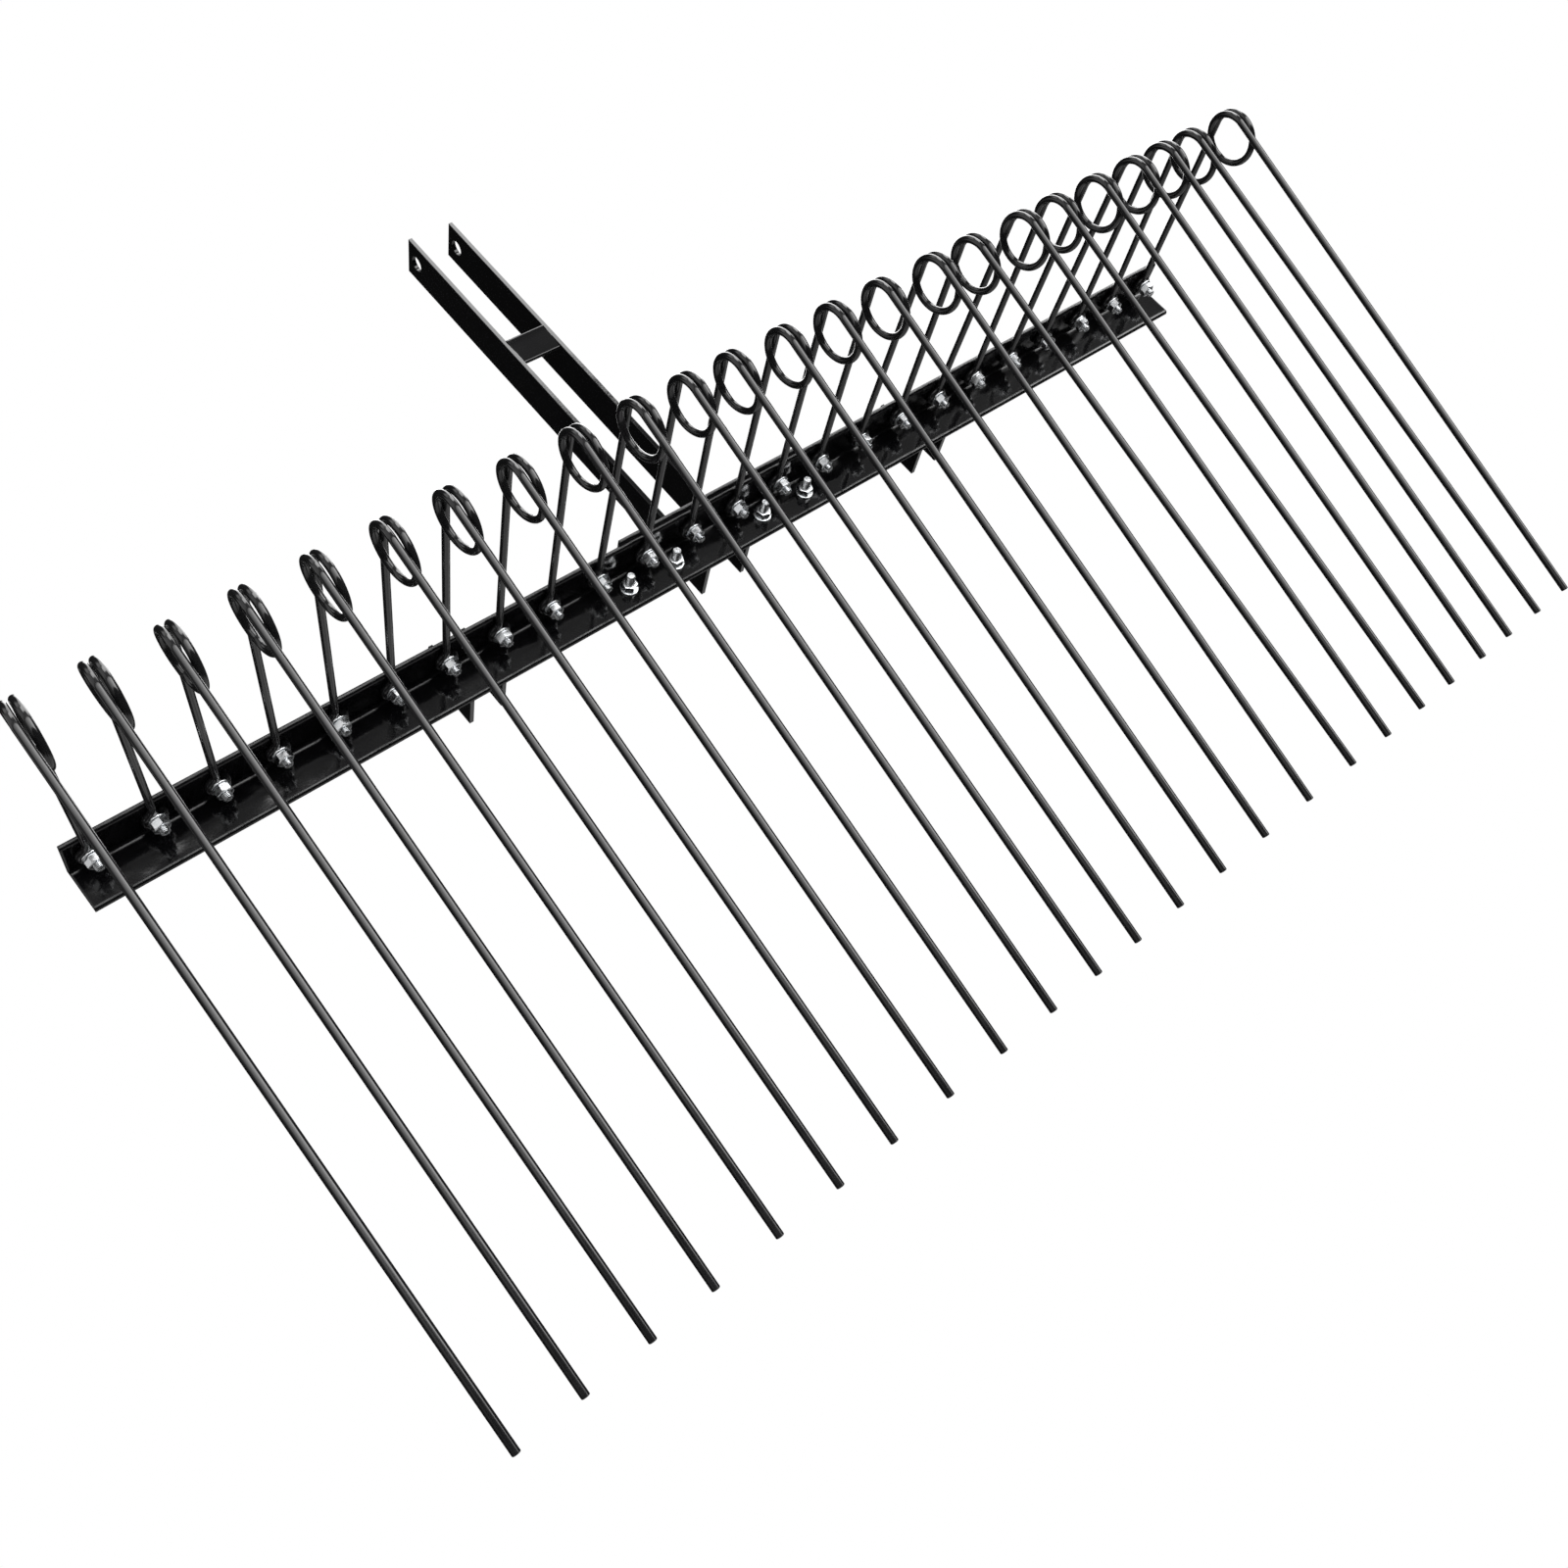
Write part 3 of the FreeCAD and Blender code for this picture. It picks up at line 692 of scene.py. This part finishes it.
def bead_grid(start, end):
    """A bead between two points: radius times a ripple, rounded off at both ends. ASIDE is any
    direction that no bead runs along, to start its circles from."""
    start, end = np.array(start, float), np.array(end, float)
    length = np.linalg.norm(end - start)
    s = np.linspace(0, length, int(length / BEAD_STEP) + 1)
    ends = np.sqrt(np.clip(1 - (1 - np.clip(np.minimum(s, length - s) / BEAD_RADIUS, 0, 1)) ** 2, 0, 1))
    wave = np.abs(np.sin(np.pi * s / RIPPLE_MM + np.sin(s * RIPPLE_WANDER)))
    ripple = 1 - RIPPLE_SHARE + RIPPLE_SHARE * wave
    way = np.tile((end - start) / length, (len(s), 1))
    across = np.cross(way, ASIDE)
    line = start + way * s[:, None]
    return wire_skin(line, way, unit(across), BEAD_RADIUS * ends * ripple)


# %% [markdown]
# The cross plate
#
# The plate between the mast bars is a piece of flat bar with rounded edges, set in by hand. In
# the photograph its face is black where the bars' rear edges, which face the same way, are
# bright, so it can't stand quite square: it leans six degrees, its face turned down a little.
# Rings of a rounded rectangle are carried from one bar to the other.

# %% Cross plate
PLATE_HEIGHT = 38.0
PLATE_RISE = 308.0
PLATE_LEAN_DEGREES = 6.0
PLATE_ROUND = 2.2
CORNER_POINTS = 8
PLATE_RINGS = 12


def cross_plate_grid():
    """Rings of a rounded rectangle along X. A point is a corner's centre plus the round radius
    times the cosine and sine of its angle; then all lean about the middle of the plate."""
    quarters = [np.linspace(a, a + 90, CORNER_POINTS) for a in (0, 90, 180, 270)]
    turns = np.radians(np.concatenate(quarters))
    signs = np.repeat([(1, 1), (-1, 1), (-1, -1), (1, -1)], CORNER_POINTS, axis=0)
    y = signs[:, 0] * (BAR_WALL / 2 - PLATE_ROUND) + PLATE_ROUND * np.cos(turns)
    z = signs[:, 1] * (PLATE_HEIGHT / 2 - PLATE_ROUND) + PLATE_ROUND * np.sin(turns)
    lean = math.radians(PLATE_LEAN_DEGREES)
    ring = np.stack([y * math.cos(lean) - z * math.sin(lean),
                     y * math.sin(lean) + z * math.cos(lean)], -1)
    ring += (HEEL_Y + ANGLE_WALL + BAR_WALL / 2, HEEL_Z + PLATE_RISE + PLATE_HEIGHT / 2)
    middle = ring.mean(0)
    places = np.linspace(-BAR_GAP / 2, BAR_GAP / 2, PLATE_RINGS)
    rows = [(places[0], 0.0)] + [(x, 1.0) for x in places] + [(places[-1], 0.0)]
    return np.stack([np.column_stack([np.full(len(ring), x), middle + (ring - middle) * size])
                     for x, size in rows])


cross_plate = surface_piece("cross_plate_flat_bar", [cross_plate_grid()], coat, "root")
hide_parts("mast_cross_plate")
print(cross_plate.name, len(cross_plate.data.polygons), "faces")

# %% [markdown]
# Laying the beads
#
# The mast bars are welded to the bracket down both sides of each, the cross plate to the inner
# sides of the bars, and each ear of the lugs down both of its sides. A bead stops a little
# short of the end of its corner.

# %% Lay the beads
BEAD_INSET = 2.0
BEAD_TOP_INSET = 1.0
mast_foot = HEEL_Z + ANGLE_WALL - ANGLE_LEG
bracket_y = HEEL_Y + ANGLE_WALL
plate_low = HEEL_Z + PLATE_RISE
inner = BAR_GAP / 2
outer = inner + BAR_WALL
bracket_top = HEEL_Z + ANGLE_WALL - BEAD_TOP_INSET
mast_beads = [bead_grid((x, bracket_y, mast_foot + BEAD_INSET), (x, bracket_y, bracket_top))
              for x in (-outer, -inner, inner, outer)]
plate_front = bracket_y + BAR_WALL
plate_high = plate_low + PLATE_HEIGHT
plate_beads = [bead_grid((x, plate_front, plate_low + BEAD_INSET),
                         (x, plate_front, plate_high - BEAD_INSET)) for x in (-inner, inner)]
lug_low, lug_high = HEEL_Z - LUG_DROP + BEAD_INSET, HEEL_Z - BEAD_INSET
lug_beads = []
for middle in (-LUG_SPREAD / 2, LUG_SPREAD / 2):
    for side_x in (-LUG_GAP / 2 - LUG_WALL, -LUG_GAP / 2, LUG_GAP / 2, LUG_GAP / 2 + LUG_WALL):
        x = middle + side_x
        lug_beads.append(bead_grid((x, HEEL_Y, lug_low), (x, HEEL_Y, lug_high)))
welds = {"mast_welds": mast_beads, "cross_plate_welds": plate_beads, "lug_welds": lug_beads}
for name, beads in welds.items():
    piece = surface_piece(name, beads, coat, "root", sharp_degrees=60)
    print(piece.name, len(piece.data.polygons), "faces")

# %% [markdown]
# Floor
#
# The photograph has a pure white ground. The floor here is a pale disc at the height of the
# tine tips, and it fades out at its rim into a white world. The camera of the photograph is
# below that height, so the floor can only be seen from above: its underside is clear to the
# camera. The floor catches the shadow of the rake but is left out of reflections, which show
# only the room of light in the next cell.

# %% Floor
FLOOR_Z = -1.2125
FLOOR_RADIUS = 6.0
FLOOR_RINGS = 25
FLOOR_SPOKES = 64
FADE_FROM = 1.6
FADE_TO = 4.5
rings = np.linspace(0, FLOOR_RADIUS, FLOOR_RINGS)
angles = np.arange(FLOOR_SPOKES) * 2 * np.pi / FLOOR_SPOKES
disc = np.stack([rings[:, None] * np.cos(angles), rings[:, None] * np.sin(angles),
                 np.full((FLOOR_RINGS, FLOOR_SPOKES), FLOOR_Z)], -1).reshape(-1, 3)
floor_mesh = bpy.data.meshes.new("floor")
floor_mesh.from_pydata(disc.tolist(), [], grid_faces(FLOOR_RINGS, FLOOR_SPOKES, False)[:, ::-1].tolist())
floor = bpy.data.objects.new("floor", floor_mesh)
bpy.context.scene.collection.objects.link(floor)
material, tree = empty_material("pale_matt_floor")
place = node(tree, "ShaderNodeTexCoord").outputs["Object"]
distance = node(tree, "ShaderNodeVectorMath", {"operation": "LENGTH"}, i0=place).outputs["Value"]
fade = node(tree, "ShaderNodeMapRange", {"interpolation_type": "SMOOTHSTEP"}, Value=distance,
            From_Min=FADE_FROM, From_Max=FADE_TO).outputs[0]
under = node(tree, "ShaderNodeNewGeometry").outputs["Backfacing"]
gone = node(tree, "ShaderNodeMath", {"operation": "MAXIMUM"}, i0=fade, i1=under).outputs[0]
matt = node(tree, "ShaderNodeBsdfDiffuse", Color=colour("#d2d2d0"))
clear = node(tree, "ShaderNodeBsdfTransparent")
mixed = node(tree, "ShaderNodeMixShader", i0=gone, i1=matt.outputs[0], i2=clear.outputs[0])
node(tree, "ShaderNodeOutputMaterial", Surface=mixed.outputs[0])
floor_mesh.materials.append(material)
floor.visible_glossy = False
floor.visible_shadow = False

print("floor at", FLOOR_Z, "m")

# %% [markdown]
# Light
#
# Black gloss paint is seen by what it mirrors, so the world is white to the camera and, to
# everything else, a dark room of soft lights all round the rake. Each row of the list is a
# soft-edged patch of that room. Its place is given in degrees: azimuth from straight behind the
# rake (nought) to its right side (90), and elevation from the horizon up. The rows of the key
# stand side by side and grow brighter to the right, which gives the long legs their smooth
# streak. The wide sides of the mast bars mirror a dark part of
# the room, and their thin rear edges a bright patch that starts thirty degrees up.

# %% Room light
LIGHT_PATCHES = [
    # azimuth from, to, edge; elevation from, to, edge; radiance
    (-98, -70, 10, -18, 12, 2, 0.05), (-70, -45, 12, -18, 12, 2, 0.5), (-45, -18, 12, -18, 12, 2, 2.0),
    (-18, 8, 12, -18, 12, 2, 3.2), (8, 34, 12, -18.5, 12, 2, 5.4), (34, 61, 6, -18.5, 12, 2, 7.4),
    (-10, 56, 12, 15, 28, 4, 0.3), (-118, -10, 12, 18, 48, 6, 1.0), (6, 62, 8, 30.5, 48, 1.5, 7.0),
    (62, 138, 8, 21, 48, 4, 5.0), (138, 160, 6, 34, 48, 4, 5.0), (36, 150, 8, 48, 62, 4, 3.6),
    (-62, 22, 14, 52, 72, 6, 1.6), (140, 180, 6, 20, 36, 5, 0.3),
    (130, 180, 10, -70, -14, 5, 0.6), (-180, -120, 10, -70, -14, 5, 0.6)]
ROOM_GLOW = 0.02


def smooth_window(tree, value, low, high, edge):
    """One between low and high, nought outside, with an S-shaped edge at both."""
    steps = [node(tree, "ShaderNodeMapRange", {"interpolation_type": "SMOOTHSTEP"}, Value=value,
                  From_Min=math.radians(at - edge), From_Max=math.radians(at + edge)).outputs[0]
             for at in (low, high)]
    return node(tree, "ShaderNodeMath", {"operation": "SUBTRACT"}, i0=steps[0], i1=steps[1]).outputs[0]


world = bpy.data.worlds.new("studio")
bpy.context.scene.world = world
world.use_nodes = True
tree = world.node_tree
tree.nodes.clear()
direction = node(tree, "ShaderNodeTexCoord").outputs["Generated"]
axes = node(tree, "ShaderNodeSeparateXYZ", i0=direction).outputs
backward = node(tree, "ShaderNodeMath", {"operation": "MULTIPLY"}, i0=axes["Y"], i1=-1.0).outputs[0]
azimuth = node(tree, "ShaderNodeMath", {"operation": "ARCTAN2"}, i0=axes["X"], i1=backward).outputs[0]
elevation = node(tree, "ShaderNodeMath", {"operation": "ARCSINE"}, i0=axes["Z"]).outputs[0]
room = ROOM_GLOW
for left, right, side_edge, low, high, edge, radiance in LIGHT_PATCHES:
    across = smooth_window(tree, azimuth, left, right, side_edge)
    upward = smooth_window(tree, elevation, low, high, edge)
    patch = node(tree, "ShaderNodeMath", {"operation": "MULTIPLY"}, i0=across, i1=upward).outputs[0]
    room = node(tree, "ShaderNodeMath", {"operation": "MULTIPLY_ADD"}, i0=patch, i1=radiance,
                i2=room).outputs[0]
seen = node(tree, "ShaderNodeLightPath").outputs["Is Camera Ray"]
strength = node(tree, "ShaderNodeMix", {"data_type": "FLOAT"}, i0=seen, i2=room, i3=1.0).outputs[0]
ground = node(tree, "ShaderNodeBackground", Color=(1, 1, 1, 1), Strength=strength)
node(tree, "ShaderNodeOutputWorld", Surface=ground.outputs[0])
print("room of", len(LIGHT_PATCHES), "patches of light")
